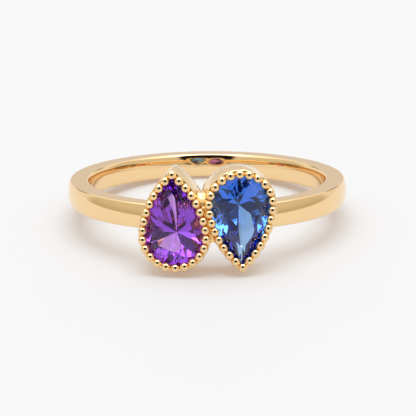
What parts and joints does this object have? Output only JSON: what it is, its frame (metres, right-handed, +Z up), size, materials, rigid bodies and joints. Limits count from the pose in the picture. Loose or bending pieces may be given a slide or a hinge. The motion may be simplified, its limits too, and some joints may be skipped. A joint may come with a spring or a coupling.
{
  "type": "finger ring",
  "caption": "Finger ring with pear-shaped stones side by side, tips opposed, in bead-edged metal cups that are open at the back. It lies on its side as it rests by itself.",
  "frame": {"origin": "on the surface that the ring lies on, under the middle of its box", "axes": "+Z up, +X to the right as the picture shows it, -Y the way the stones face. The axis of the finger hole leans 8.4 degrees from +Z towards +Y, because the ring rests on the lower ends of its settings and on the far lower edge of its band"},
  "size_m": [0.0196, 0.0208, 0.0072],
  "materials": {
    "gold": null,
    "purple_stone": "polished facets, clear purple",
    "blue_stone": "polished facets, clear blue"
  },
  "bodies": {
    "root": {"gold_mount": "gold", "amethyst": "purple_stone", "sapphire": "blue_stone"}
  },
  "joints": []
}
